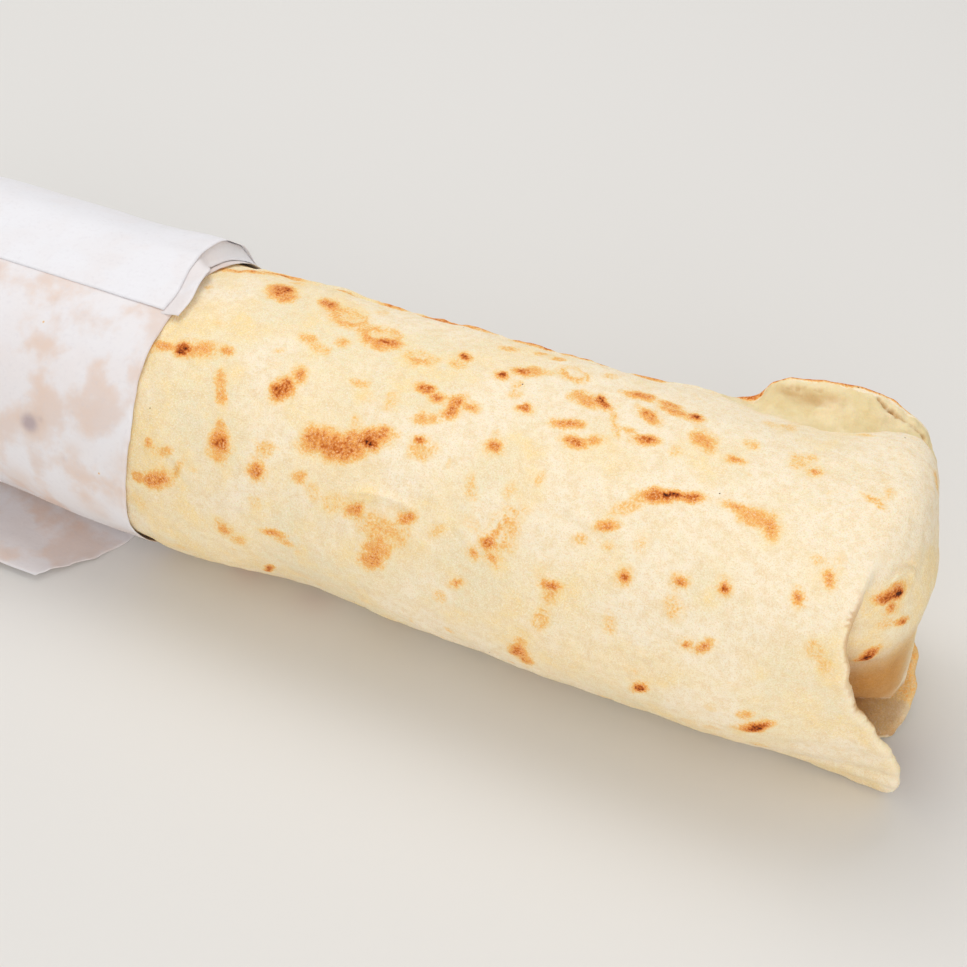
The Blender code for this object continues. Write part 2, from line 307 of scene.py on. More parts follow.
def filling_inset(x, degrees):
    """How far the filled roll stays under the plain section: for the paper and for the sheet."""
    inset = PAPER_GAP * (1 - ramp(x, MOUTH + 1, MOUTH + 7))
    inset += 2.5 * (1 - ramp(x, bread_low.x, bread_low.x + 16))
    low_in_front = ramp(degrees, 180, 208) * ramp(degrees, 264, 236)
    inset -= FULL_BELOW * low_in_front * ramp(x, MOUTH - 14, MOUTH - 1) * ramp(x, MOUTH + 22, MOUTH + 2)
    inside = min(degrees - FREE_EDGE[0][0], FREE_EDGE[-1][0] - degrees, x - SHEET_START)
    return inset + UNDER_SHEET * ramp(inside, UNDER_AFTER, UNDER_AFTER + SHEET_BLEND)


def place_filled_roll(stage, degrees):
    """Stages up to STRAIGHT_END are places along, the next 1 reaches the shoulder and the last 1
    rounds the end. The lowest stages close the left end."""
    around = degrees if degrees <= 270 else degrees - 360
    shoulder = TIP - read(SHOULDER, around)
    along = max(min(stage, STRAIGHT_END), bread_low.x)
    along += (shoulder - STRAIGHT_END) * min(max(stage - STRAIGHT_END, 0), 1)
    turn = max(stage - STRAIGHT_END - 1, 0) * math.pi / 2
    power = 2 / read(END_ROUNDING, around)
    shrink = max(math.cos(turn), 0.0) ** power
    across = END_CENTRE[0] + (section(along, degrees).y - END_CENTRE[0]) * shrink
    slant = math.hypot(across - END_RIDGE, RIDGE_RADIUS) - RIDGE_RADIUS
    face = TIP - END_FACE - END_SLANT * slant
    level = END_CENTRE[1] + (section(along, degrees).z - END_CENTRE[1]) * shrink
    face -= VALLEY_DEPTH * math.exp(-(((across - VALLEY_ACROSS) / 5) ** 2)) * ramp(level, 55, 36)
    bulge, fold_level, fold_reach = FOLD
    bulge *= math.exp(-(((across - END_RIDGE) / FOLD_ACROSS) ** 2))
    face += bulge * math.exp(-(((level - fold_level) / fold_reach) ** 2))
    x = along + (face - shoulder) * math.sin(turn) ** power
    point = section(x, around - swing(x, around), filling_inset(x, degrees))
    point += (point - Vector((x, 0, HEIGHT / 2))).normalized() * collar(x, around)
    point += lean(x, degrees) * ramp(degrees, *SHARE_LEANING)
    if stage < bread_low.x:
        middle = Vector((x, 0, read(PRESSED, x) * HEIGHT / 2))
        return middle.lerp(point, 1 - (bread_low.x - stage) / 2)
    return Vector((x, *END_CENTRE)).lerp(point, shrink)


def place_outer_layer(share, degrees):
    """The outer layer of bread round the folded end, from where it starts to its free edge."""
    x = SHEET_START + (edge_along(degrees) - SHEET_START) * share
    risen = smooth((x - SHEET_START) / SHEET_BLEND)
    risen *= smooth((degrees - FREE_EDGE[0][0]) / SHEET_BLEND)
    risen *= smooth((FREE_EDGE[-1][0] - degrees) / SHEET_BLEND)
    point = section(x, degrees, SHEET_BURIED * (1 - risen)) + lean(x, degrees)
    point.z = max(point.z, 0)
    return point


def place_pocket(x, step):
    """Steps up to 1 go along the floor from front to back, and up to 2 back again along the roof."""
    front = read(POCKET, x)
    back = read(POCKET, x, 2)
    if step <= 1:
        degrees = front + (back - front) * step
        return section(x, degrees, POCKET_INSET) + lean(x, degrees)
    front_end = section(x, front, POCKET_INSET) + lean(x, front)
    back_end = section(x, back, POCKET_INSET) + lean(x, back)
    roof = back_end.lerp(front_end, step - 1)
    roof.z -= read(POCKET, x, 3) * math.sin((step - 1) * math.pi)
    return roof


stages = [bread_low.x - 2, bread_low.x - 1, *spread(bread_low.x, MOUTH - 2, 40)]
stages += [*spread(MOUTH, STRAIGHT_END, 82)]
stages += [STRAIGHT_END + step for step in (*spread(0.03, 1, 34), *spread(1.04, 2, 26))]
rounds = [*spread(-90, 26, 54), *spread(27, 68, 54), *spread(70, 270, 100)]
roll = grid("rolled_flatbread", stages, rounds, place_filled_roll)
pocket_steps = [*spread(0, 1, 50), *spread(1.05, 2, 20)]
pocket = grid("pocket", spread(*POCKET_ALONG, 31), pocket_steps, place_pocket)
cut = roll.modifiers.new("Pocket", "BOOLEAN")
cut.operation = "DIFFERENCE"
cut.object = pocket
settle(roll)
bpy.data.objects.remove(pocket)
outer_rounds = spread(FREE_EDGE[-1][0], FREE_EDGE[0][0], 200)
outer = grid("outer_layer", spread(0, 1, 44), outer_rounds, place_outer_layer, closed=False)
thicken(outer, BREAD)

# The filled roll and the outer layer are fused into one skin of even, small faces.
SKIN_FACE = 0.79
SMOOTHINGS = 3
fused = bmesh.new()
fused.from_mesh(roll.data)
fused.from_mesh(outer.data)
fused.to_mesh(roll.data)
fused.free()
bpy.data.objects.remove(outer)
fuse = roll.modifiers.new("Fuse", "REMESH")
fuse.mode = "VOXEL"
fuse.voxel_size = SKIN_FACE * MM
settle(roll)


def points_of(obj):
    """An object's vertices, in millimetres, and their normals."""
    count = len(obj.data.vertices)
    places = np.empty(count * 3)
    obj.data.vertices.foreach_get("co", places)
    normals = np.empty(count * 3, np.float32)
    obj.data.vertices.foreach_get("normal", normals)
    return places.reshape(-1, 3) / MM, normals.reshape(-1, 3)


# The part that the paper hides keeps a coarser mesh.
HIDDEN_TO = MOUTH - 9
HIDDEN_SHARE = 0.15
hidden = roll.vertex_groups.new(name="hidden")
hidden.add([v.index for v in roll.data.vertices if v.co.x / MM < HIDDEN_TO], 1.0, "REPLACE")
visible = sum(v.co.x / MM >= HIDDEN_TO for v in roll.data.vertices)
visible_share = visible / len(roll.data.vertices)
coarser = roll.modifiers.new("Coarser", "DECIMATE")
coarser.vertex_group = "hidden"
coarser.ratio = visible_share + HIDDEN_SHARE * (1 - visible_share)
settle(roll)


def soften(shape, points):
    """Moves each point half way to the middle of its neighbours."""
    axes = {"use_axis_x": True, "use_axis_y": True, "use_axis_z": True}
    bmesh.ops.smooth_vert(shape, verts=points, factor=0.5, **axes)


skin = bmesh.new()
skin.from_mesh(roll.data)
for again in range(SMOOTHINGS):
    soften(skin, skin.verts)
# The collar's torn inner face and the two sharpest creases get twice as fine a mesh: low and high
# corners of the places.
FINE_BOXES = [
    ((80, 14, 49), (119, 33, 62)),
    ((14, -33, 38), (37, -24, 49)),
    ((116, -17, 44), (126, -3, 55)),
]


def in_fine_box(point):
    return any(
        all(low < v / MM < high for low, v, high in zip(lowest, point, highest))
        for lowest, highest in FINE_BOXES
    )


fine_points = {v for v in skin.verts if in_fine_box(v.co)}
fine_edges = [edge for edge in skin.edges if fine_points.issuperset(edge.verts)]
bmesh.ops.subdivide_edges(skin, edges=fine_edges, cuts=1, use_grid_fill=True)
soften(skin, [v for v in skin.verts if in_fine_box(v.co)])
skin.to_mesh(roll.data)
skin.free()
roll.vertex_groups.clear()

# Toast marks: along, degrees round, length, width, turn from along, how dark. The light ones are
# golden, those over 0.9 burnt.
TOAST = [
    (-16, 80, 9, 5.5, 38, 0.75),
    (-15, 77, 3, 1.6, 50, 0.92),
    (-5, 80, 6, 4, 50, 0.75),
    (12, 92, 7, 2.2, -9, 0.82),
    (28, 88, 3, 2.2, 44, 0.88),
    (28, 92, 5, 3.5, 0, 0.35),
    (-26, 119, 4.5, 3.4, 20, 0.86),
    (-31, 120, 6, 2, 0, 0.6),
    (-22, 117, 7, 3.5, -6, 0.52),
    (-17, 115, 3, 1.8, 5, 0.62),
    (-36, 122, 5, 2.6, -4, 0.62),
    (-15, 127, 7, 3.2, 63, 0.42),
    (-14, 131, 4.5, 3, 63, 0.5),
    (-2, 123, 5.5, 4.9, -34, 0.78),
    (0, 116, 3.5, 2.5, 50, 0.62),
    (4, 98, 4, 3, 0, 0.42),
    (-3, 101, 4, 3, 0, 0.46),
    (0, 103, 7, 3, 10, 0.3),
    (12, 112, 5, 2.7, 0, 0.32),
    (25, 107, 4, 2.4, 0, 0.74),
    (28, 109, 3.5, 2.2, 0, 0.7),
    (32, 109, 5, 2.7, -73, 0.64),
    (32, 113, 4, 2.7, -58, 0.74),
    (35, 109, 3, 2, 0, 0.55),
    (-11, 148, 5, 4.2, 50, 0.74),
    (-12, 143, 4, 2.6, 60, 0.5),
    (-11, 152, 5, 4, 0, 0.45),
    (-2, 153, 4, 3.8, 80, 0.68),
    (-1, 145, 5, 4, -20, 0.3),
    (6, 140, 4, 3, 0, 0.28),
    (9, 136, 8, 5.8, -10, 0.66),
    (14, 136, 11, 6.2, -14, 0.7),
    (20, 130, 8, 5, -30, 0.68),
    (10, 134, 3, 2, 0, 0.8),
    (19, 132, 5, 2.4, -5, 0.93),
    (28, 118, 6, 3, -15, 0.42),
    (29, 126, 2.5, 1.8, 0, 0.85),
    (30, 129, 7, 4.4, -13, 0.34),
    (43, 120, 3.2, 2.9, 30, 0.74),
    (7, 151, 3.4, 2.7, -25, 0.48),
    (-25, 171, 8, 4.2, -20, 0.66),
    (-29, 173, 4, 3, 0, 0.5),
    (-27, 156, 2, 2, -45, 0.5),
    (-23, 158, 5, 2.4, -30, 0.4),
    (-20, 165, 8, 2, -66, 0.38),
    (20, 156, 5, 3.2, -6, 0.6),
    (31, 153, 5, 2.6, -35, 0.56),
    (27, 160, 12, 7, -8, 0.36),
    (26, 167, 8, 6, -80, 0.5),
    (25, 173, 6, 4, -40, 0.62),
    (-9, 184, 4, 3.2, -54, 0.55),
    (-6, 188, 5, 3.4, -30, 0.36),
    (3, 177, 6, 1.8, -11, 0.62),
    (5, 180, 5, 2.6, 0, 0.36),
    (43, 171, 3, 1.6, -35, 0.62),
    (48, 152, 3, 2.6, -84, 0.7),
    (49, 148, 9, 1.3, -70, 0.5),
    (46, 157, 2.4, 2, 0, 0.55),
    (50, 157, 2.4, 2, 0, 0.55),
    (-2, 208, 7, 1.9, -60, 0.8),
    (37, 92, 2.4, 1.8, -9, 0.92),
    (40, 87, 5, 2.6, -10, 0.72),
    (42, 85, 6, 3.6, -10, 0.5),
    (34, 75, 4, 3, 0, 0.4),
    (40, 72, 4, 2.6, 0, 0.4),
    (44, 73, 4, 2.4, -14, 0.45),
    (45, 103, 2.6, 1.8, -9, 0.85),
    (55, 91, 8, 4.4, 0, 0.56),
    (58, 91, 5, 2.2, 25, 0.76),
    (57, 89, 2.2, 2, 60, 0.97),
    (54, 104, 5.5, 2.7, -20, 0.66),
    (57, 110, 5, 2.5, 0, 0.74),
    (60, 107, 4, 2.2, -20, 0.56),
    (62, 98, 9, 1.8, 60, 0.35),
    (63, 81, 5.5, 2.6, -10, 0.7),
    (69, 81, 5, 2, 0, 0.7),
    (71, 84, 7, 2.6, 10, 0.6),
    (67, 90, 6, 3, 30, 0.62),
    (75, 84, 2.6, 2.2, 28, 0.96),
    (69, 101, 5.5, 2.5, -20, 0.74),
    (65, 99, 4, 1.8, 0, 0.4),
    (79, 94, 6, 4, 28, 0.58),
    (86, 98, 3.2, 1.8, -6, 0.64),
    (87, 89, 4, 3, 13, 0.34),
    (76, 119, 8, 3.2, -14, 0.72),
    (78, 118, 6, 1.7, -18, 0.97),
    (82, 116, 5, 2.4, -19, 0.76),
    (72, 125, 10, 3, -44, 0.34),
    (69, 134, 5, 2, -27, 0.58),
    (65, 141, 4, 2.4, -20, 0.3),
    (90, 115, 4.5, 2, 0, 0.56),
    (94, 116, 7, 4.5, 0, 0.5),
    (97, 117, 4.5, 3, 70, 0.6),
    (62, 159, 4.5, 2, -16, 0.7),
    (62, 163, 5, 3.4, -60, 0.36),
    (61, 173, 8, 3.4, -80, 0.3),
    (75, 148, 3, 2.4, -33, 0.74),
    (85, 144, 2.4, 2, -26, 0.7),
    (93, 141, 2.4, 2, 70, 0.76),
    (106, 137, 3, 2, 60, 0.64),
    (110, 128, 3, 1.8, 60, 0.62),
    (107, 123, 3.4, 2, 0, 0.32),
    (92, 163, 3.6, 2, -43, 0.64),
    (89, 164, 1.6, 1.4, -38, 0.8),
    (56, 194, 7, 4, -70, 0.72),
    (57, 200, 6, 3, -80, 0.6),
    (81, 191, 4, 2.4, -52, 0.93),
    (103, 197, 6, 3.2, -30, 0.9),
    (101, 190, 4, 3, -30, 0.4),
    (96, 89, 6, 4, 70, 0.3),
    (100, 92, 2, 1.6, -57, 0.62),
    (112, 97, 6, 1.8, 20, 0.42),
    (-29, 68, 11, 2.6, -20, 0.62),
    (-23, 60, 12, 2, -10, 0.66),
    (-8, 60, 5, 1.6, -4, 0.8),
    (3, 57, 6, 1.6, -4, 0.66),
    (14, 58, 12, 2, -4, 0.74),
    (22, 56, 10, 2, -4, 0.66),
    (36, 55, 12, 1.6, -4, 0.8),
    (47, 54, 16, 1.8, -4, 0.82),
    (60, 55, 7, 1.6, -4, 0.7),
]
# Blisters, browned in a ring round a paler middle.
RINGS = [
    (1, 84, 9, 6.6, 19, 0.66),
    (10, 90, 9.4, 6.4, 2, 0.74),
    (20, 95, 6, 4, -5, 0.56),
    (49, 80, 7, 5, -4, 0.5),
    (50, 146, 12, 6, -70, 0.4),
]
# On the folded end: across, up, length, width, turn from across, how dark.
END_TOAST = [
    (-13, 47.4, 7.6, 3.2, -4, 0.82),
    (-12, 46.8, 2.8, 1.8, -10, 0.93),
    (-13.8, 45, 2.4, 2.4, 0, 0.7),
    (-12, 40.8, 3.4, 1.4, -20, 0.74),
    (-15.5, 42, 4, 2.6, -20, 0.3),
    (-16.8, 34.4, 2.2, 4.8, 0, 0.88),
    (-16.8, 34.4, 1.2, 2.4, 0, 0.94),
    (17, 30, 4, 3, -40, 0.8),
    (9, 17, 6, 3.4, 10, 0.55),
    (17, 20, 3, 2, 30, 0.72),
    (13, 53, 5, 4, 0, 0.32),
]


def eased(values, start, full):
    """Eased step of an array: 0 at start, 1 at full."""
    t = np.clip((values - start) / (full - start), 0, 1)
    return t * t * (3 - 2 * t)


HALO = 0.24  # the darker marks have a pale golden rim, reaching this far out
HALO_REACH = 4.5


def brown(toast_and_bounce_light, places, centre, first, second, mark, seed, ring=False):
    """Adds one toast mark, lying in the plane of two directions, to how toasted each point is."""
    length, width, turn, dark = mark
    away = places - np.array(centre)
    size = max(length, width)
    near = np.flatnonzero((np.abs(away) < 1.6 * size).all(axis=1))
    away = away[near]
    turn = math.radians(turn)
    one = away @ np.array(first)
    two = away @ np.array(second)
    ragged = np.array([noise.noise(Vector(p) * 0.45 + Vector((seed, 0, 0))) for p in places[near]])
    a = (one * math.cos(turn) + two * math.sin(turn)) / (length / 2)
    b = (two * math.cos(turn) - one * math.sin(turn)) / (width / 2)
    out = np.hypot(a, b) + 0.4 * ragged
    level = dark * eased(out, 1.55, 0.35)
    if ring:
        level *= 1 - 0.8 * eased(out + 0.3 * b, 0.8, 0.3)
    halo = HALO * eased(out * size, size + HALO_REACH, size) * (dark > 0.5)
    toast_and_bounce_light[near] = np.maximum(toast_and_bounce_light[near], np.maximum(level, halo))


def on_skin(along, degrees):
    """A point on the roll and the directions along it and round it."""
    centre = section(along, degrees)
    first = (section(along + 0.5, degrees) - centre).normalized()
    second = (section(along, degrees + 1) - centre).normalized()
    return centre, first, second


places, normals = points_of(roll)
toast_and_bounce_light = np.zeros(len(places))
seeds = random.Random(7)
for along, degrees, *mark in TOAST:
    brown(toast_and_bounce_light, places, *on_skin(along, degrees), mark, seeds.uniform(0, 90))
for along, degrees, *mark in RINGS:
    brown(toast_and_bounce_light, places, *on_skin(along, degrees), mark, seeds.uniform(0, 90), ring=True)
facing = np.flatnonzero((normals[:, 0] > 0.4) & (places[:, 0] > TIP - 26))
end_toast = np.zeros(len(facing))
flat = places[facing] * np.array([0, 1, 1])
for across, up, *mark in END_TOAST:
    brown(end_toast, flat, (0, across, up), (0, 1, 0), (0, 0, 1), mark, seeds.uniform(0, 90))
toast_and_bounce_light[facing] = np.maximum(toast_and_bounce_light[facing], end_toast)
# The back and the underside were toasted like the front, up to the tongue, and faint freckles are
# all over.
for count in range(120):
    along, degrees = seeds.uniform(MOUTH - 5, 104), seeds.uniform(236, 394)
    length = 2 + 7 * seeds.random() ** 2
    mark = length, length * seeds.uniform(0.4, 0.8), seeds.uniform(-50, 50), seeds.uniform(0.3, 0.95)
    brown(toast_and_bounce_light, places, *on_skin(along, degrees), mark, seeds.uniform(0, 90))
for count in range(260):
    along, degrees = seeds.uniform(MOUTH - 5, 120), seeds.uniform(0, 360)
    length = seeds.uniform(1.5, 5.5)
    mark = length, length * seeds.uniform(0.5, 1), seeds.uniform(-90, 90), seeds.uniform(0.1, 0.3)
    brown(toast_and_bounce_light, places, *on_skin(along, degrees), mark, seeds.uniform(0, 90))


def near_points(places, targets, reach, whole=0.0):
    """1 up to the distance whole from the target points, fading to 0 at reach away from them."""
    tree = kdtree.KDTree(len(targets))
    for index, target in enumerate(targets):
        tree.insert(target, index)
    tree.balance()
    distance = np.array([tree.find(Vector(p))[2] for p in places])
    return eased(distance, reach, whole)


# Where torn crumb shows inside the collar, and where its rim and the free edge are.
collar_stages = [STRAIGHT_END + step for step in (*spread(0.15, 1, 40), *spread(1.02, 1.35, 14))]
inner_rounds = spread(COLLAR_RIM + 3.2, COLLAR_CREASE + 1, 10)
inner_face = [place_filled_roll(stage, d) for stage in collar_stages for d in inner_rounds]
inside = near_points(places, inner_face, 2.2)
rim_line = [
    place_filled_roll(stage, rim_at(place_filled_roll(stage, COLLAR_RIM).x) + beyond)
    for stage in collar_stages
    for beyond in (-0.5, 0.4, 1.2)
]
browned = near_points(places, rim_line, 1.3, 0.3) * eased(places[:, 0], 112, 105)
free_edge = [place_outer_layer(1, d) for d in spread(112, 330, 300)]
edge = near_points(places, free_edge, 2.6)

# Painted shade, warm as if lit by light bounced inside, in the hollow under the tongue: less of it on
# the upward-facing floor and towards the mouth. The two lists are its floor and roof, and its blind end.
DEEPEST = POCKET_ALONG[0] + 2
faces_in = (normals * (np.array([TIP, -2, 20]) - places)).sum(axis=1) > 0
under_tongue = [place_pocket(x, step) for x in spread(DEEPEST, 121, 15) for step in spread(0, 2, 60)]
under_tongue += [
    place_pocket(DEEPEST, step).lerp(place_pocket(DEEPEST, 2 - step), share)
    for step in spread(0, 1, 40)
    for share in (0.2, 0.4, 0.6, 0.8)
]
painted_shade = near_points(places, under_tongue, 4.0, 1.4) * faces_in
painted_shade *= 0.65 + 0.35 * eased(places[:, 0], 121, 114)
painted_shade *= 1 - 0.3 * eased(normals[:, 2], 0.5, 0.9)
# The same painted shade on the lower part of the tongue and in the valley beside it. The lower lip's
# inner face gets a light golden tint in the toast mask: painted warm light bounced into it.
faces_right = normals[:, 0] > 0.3
lower_tongue = faces_right & (places[:, 1] > -20) & (places[:, 1] < 3)
lower_tongue = lower_tongue * eased(places[:, 2], 39, 26) * eased(places[:, 1], 2, -10)
painted_shade = np.maximum(painted_shade, 0.86 * lower_tongue * eased(places[:, 2], 17, 20))
valley = near_points(places, [Vector((115, -25, up)) for up in spread(26, 50, 12)], 7, 2)
beside_tongue = faces_right & (normals[:, 1] > -0.75) & (places[:, 1] > -28)
painted_shade = np.maximum(painted_shade, 0.5 * valley * beside_tongue)
lip = [place_outer_layer(share, d) for share in spread(0.84, 1, 8) for d in spread(284, 326, 43)]
toast_and_bounce_light = np.maximum(toast_and_bounce_light, 0.3 * near_points(places, lip, 3.2, 2.2) * faces_in)

# Holes, slits and bits of torn crumb inside the collar, and dents in the soft skin: place, length
# and width, turn across, depth, how much painted shade sits in it.
DENTS = [
    ((90.6, 23.4, 55.6), (7.4, 3.2), 0.1, 1.4, 0.62),
    ((94.5, 24.2, 56.1), (4.6, 2.4), 0.0, 0.7, 0.5),
    ((86.6, 23.6, 55.8), (6, 2.4), 0.0, 0.5, 0.5),
    ((91.6, 22.6, 55.2), (2.2, 1.2), -0.3, -0.6, 0.0),
    ((96.4, 23.2, 56), (3.4, 2.4), 0.2, -0.8, 0.0),
    ((88.4, 25.4, 56.3), (3, 1.2), -0.1, -0.5, 0.0),
    ((101, 25.2, 55.2), (4, 2), -0.1, -0.5, 0.0),
    ((104.5, 25, 54), (4, 3), 0.2, -0.5, 0.1),
    ((92, -28.5, 43.5), (6, 12), 0.0, 0.5, 0.0),
    ((31, -31.5, 37), (5, 5), 0.0, 0.35, 0.06),
    ((-22, -31, 37), (7, 3), 0.6, 0.4, 0.0),
    ((7, -29, 15.5), (30, 26), 0.0, 1.5, 0.0),
    ((-13, -29, 14), (14, 20), 0.0, -0.8, 0.0),
]
# Slits where the collar's thick rim has come away: from place, to place, half width, depth, painted
# shade.
SLITS = [
    ((102.6, 28.6, 55.8), (105.2, 27.8, 54.6), 0.5, 0.7, 0.7),
    ((105.2, 27.8, 54.6), (108.8, 27.4, 52.6), 0.6, 1.0, 1.0),
    ((108.8, 27.4, 52.6), (112.6, 25.8, 52.4), 0.55, 0.9, 0.95),
    ((112.6, 25.8, 52.4), (114.6, 22.5, 53.4), 0.4, 0.5, 0.5),
    ((85.4, 24.6, 56.2), (92.6, 25.2, 56.6), 0.4, 0.4, 0.55),
]
# The dents and slits sink the skin, and the painted shade in them joins the shade under the tongue.
sunk = np.zeros(len(places))
for centre, (length, width), turn, depth, dark in DENTS:
    away = places - np.array(centre)
    sideways = np.linalg.norm(away[:, 1:], axis=1) * np.sign(away[:, 2])
    a = away[:, 0] * math.cos(turn) + sideways * math.sin(turn)
    b = sideways * math.cos(turn) - away[:, 0] * math.sin(turn)
    depth_here = np.exp(-((a / length * 2) ** 2) - (b / width * 2) ** 2)
    sunk += depth * depth_here
    painted_shade = np.maximum(painted_shade, dark * depth_here)

for start, end, half_width, depth, dark in SLITS:
    start, run = np.array(start), np.array(end) - np.array(start)
    share = np.clip((places - start) @ run / (run @ run), 0, 1)
    away = np.linalg.norm(places - start - share[:, None] * run, axis=1)
    near = np.flatnonzero(away < 3)
    ragged = np.array([0.5 * noise.noise(Vector(p) * 1.3) for p in places[near]])
    depth_here = np.exp(-(((away[near] + ragged) / half_width) ** 2))
    sunk[near] += depth * depth_here
    painted_shade[near] = np.maximum(painted_shade[near], dark * depth_here)

# Folds in the skin: from along and round, to along and round, bow in degrees, height, width.
FOLDS = [
    ((15, 154), (34, 150.5), -3.5, 0.6, 0.75),
    ((-24, 155), (-17, 168), 0, 0.35, 1.2),
    ((-24, 113), (-22, 127), 0, 0.2, 0.6),
    ((58, 130), (72, 134), 3, 0.25, 1.0),
    ((44, 138), (47, 158), 6, 0.3, 1.0),
    ((97, 158), (112, 163), 2, 0.3, 0.8),
    ((64, 176), (88, 178), -3, 0.3, 1.5),
    ((-10, 168), (4, 172), 2, 0.25, 1.4),
    ((-46, 57), (88, 54), 0, 0.5, 0.9),
]
# The same on the folded end, where a soft fold crosses the tongue: from across and up, to across
# and up, bow, height, width.
TONGUE_FOLD = (-13.4, 49.6), (-6.4, 47.8), 1.6, 0.6, 0.6
MM_A_DEGREE = 0.54  # round the skin


def fold_height(flat, start, end, bow, height, width, dip):
    """Height of a fold, with a dip along one side, at places laid out flat."""
    start, run = np.array(start), np.array(end) - np.array(start)
    length = np.linalg.norm(run)
    away = flat - start
    share = away @ run / length**2
    beside = (away[:, 1] * run[0] - away[:, 0] * run[1]) / length
    beside = (beside - bow * 4 * share * (1 - share)) / width
    ends = eased(share, 0, 0.25) * eased(share, 1, 0.75)
    return height * ends * (np.exp(-(beside**2)) - dip * np.exp(-((beside - 1.6) ** 2)))


across_here, up_here = places[:, 1] / HALF_WIDTH, 2 * places[:, 2] / HEIGHT - 1
rounds_here = np.degrees(np.arctan2(up_here, across_here)) % 360
unrolled = np.stack((places[:, 0], rounds_here * MM_A_DEGREE), axis=1)
folded = np.zeros(len(places))
for start, end, bow, height, width in FOLDS:
    start, end = ((along, degrees * MM_A_DEGREE) for along, degrees in (start, end))
    folded += fold_height(unrolled, start, end, bow * MM_A_DEGREE, height, width, 0.6)
folded += fold_height(places[:, 1:], *TONGUE_FOLD, 0.7) * (places[:, 0] > 115)


def relief(place, level, torn_here):
    """How far the skin stands off its smooth form here, outwards."""
    x = place.x
    lumps = 0.42 * noise.noise(place / 24) + 0.24 * noise.noise(place / 8.5 + Vector((9, 2, 5)))
    fine = 0.2 * noise.noise(place / 3.4) + 0.12 * noise.noise(place / 1.7)
    blister = 0.22 * smooth((level - 0.35) / 0.4)
    inside_paper = 1 - smooth((MOUTH - x) / 8)
    torn = 0.45 * noise.noise(place / 2.3 + Vector((0, 7, 1))) + 0.3 * noise.noise(place / 1.2)
    return (lumps + fine + blister) * inside_paper + torn * torn_here


off = np.array([relief(Vector(p), t, h) for p, t, h in zip(places, toast_and_bounce_light, inside)])
places += normals * (off - sunk + folded)[:, None]
places[:, 2] = np.maximum(places[:, 2], 0)
roll.data.vertices.foreach_set("co", (places * MM).ravel())
roll.data.update()
roll.data.shade_smooth()


def keep(obj, name, values):
    """Stores one number for each vertex, for a material to read."""
    attribute = obj.data.attributes.new(name, "FLOAT", "POINT")
    attribute.data.foreach_set("value", values.astype(np.float32))


keep(roll, "toast_and_bounce_light", toast_and_bounce_light)
keep(roll, "inside", inside)
keep(roll, "browned", browned)
keep(roll, "edge", edge)
keep(roll, "painted_shade", painted_shade)


def colour(red, green, blue):
    """Linear colour from the 0-255 values that a screen shows."""
    return [((v / 255 + 0.055) / 1.055) ** 2.4 for v in (red, green, blue)] + [1.0]


def node(tree, kind, inputs=None, **settings):
    """New node. inputs gives each socket a value or another node's output."""
    made = tree.nodes.new("ShaderNode" + kind)
    for name, value in settings.items():
        setattr(made, name, value)
    for name, value in (inputs or {}).items():
        if isinstance(value, bpy.types.NodeSocket):
            tree.links.new(value, made.inputs[name])
        else:
            made.inputs[name].default_value = value
    return made


def grain(tree, size, detail=2.0, offset=0.0):
    """Noise from 0 to 1 with humps about size millimetres long."""
    where = node(tree, "TexCoord").outputs["Object"]
    moved = node(tree, "Mapping", {"Vector": where, "Location": (offset,) * 3}).outputs[0]
    inputs = {"Vector": moved, "Scale": 1 / (size * MM), "Detail": detail}
    return node(tree, "TexNoise", inputs).outputs[0]


def calc(tree, operation, first, second=0.0, third=0.0):
    return node(tree, "Math", {0: first, 1: second, 2: third}, operation=operation).outputs[0]


def between(tree, value, low, high, bottom=0.0, top=1.0):
    """Eased step: bottom where the value is low, top where it is high."""
    inputs = {"Value": value, "From Min": low, "From Max": high, "To Min": bottom, "To Max": top}
    return node(tree, "MapRange", inputs, interpolation_type="SMOOTHSTEP").outputs[0]


def mix(tree, factor, first, second, blend="MIX"):
    made = node(tree, "Mix", data_type="RGBA", blend_type=blend)
    for socket, value in zip((made.inputs[0], made.inputs[6], made.inputs[7]), (factor, first, second)):
        if isinstance(value, bpy.types.NodeSocket):
            tree.links.new(value, socket)
        else:
            socket.default_value = value
    return made.outputs[2]


def stored(tree, name):
    return node(tree, "Attribute", attribute_name=name).outputs["Fac"]


def new_material(name):
    material = bpy.data.materials.new(name)
    material.use_nodes = True
    return material, material.node_tree, material.node_tree.nodes["Principled BSDF"]


def times(tree, first, second):
    return calc(tree, "MULTIPLY", first, second)


def plus(tree, first, second):
    return calc(tree, "ADD", first, second)


def specks(tree, a_metre, edge, full):
    """Rare small dots: how many cells a metre, and how far from a cell's middle a dot fades in."""
    where = node(tree, "TexCoord").outputs["Object"]
    cells = node(tree, "TexVoronoi", {"Vector": where, "Scale": a_metre})
    return between(tree, cells.outputs["Distance"], edge, full)


def bumpy(tree, shader, height, strength):
    bump = node(tree, "Bump", {"Height": height, "Strength": strength, "Distance": 0.3 * MM})
    tree.links.new(bump.outputs[0], shader.inputs["Normal"])


CREAM = colour(251, 230, 188)
GREENISH = colour(241, 228, 192)
YELLOWISH = colour(252, 223, 160)
FLOURY = colour(252, 237, 210)
TANNED = colour(238, 211, 164)
CRUMB = colour(232, 211, 162)
CRUMB_PALE = colour(242, 223, 180)
SHADED = colour(197, 146, 70)
PALE_GOLD = colour(252, 218, 145)
GOLD = colour(246, 196, 116)
ORANGE = colour(240, 163, 79)
BROWN = colour(209, 114, 40)
DARK = colour(152, 66, 22)
BURNT = colour(76, 34, 14)


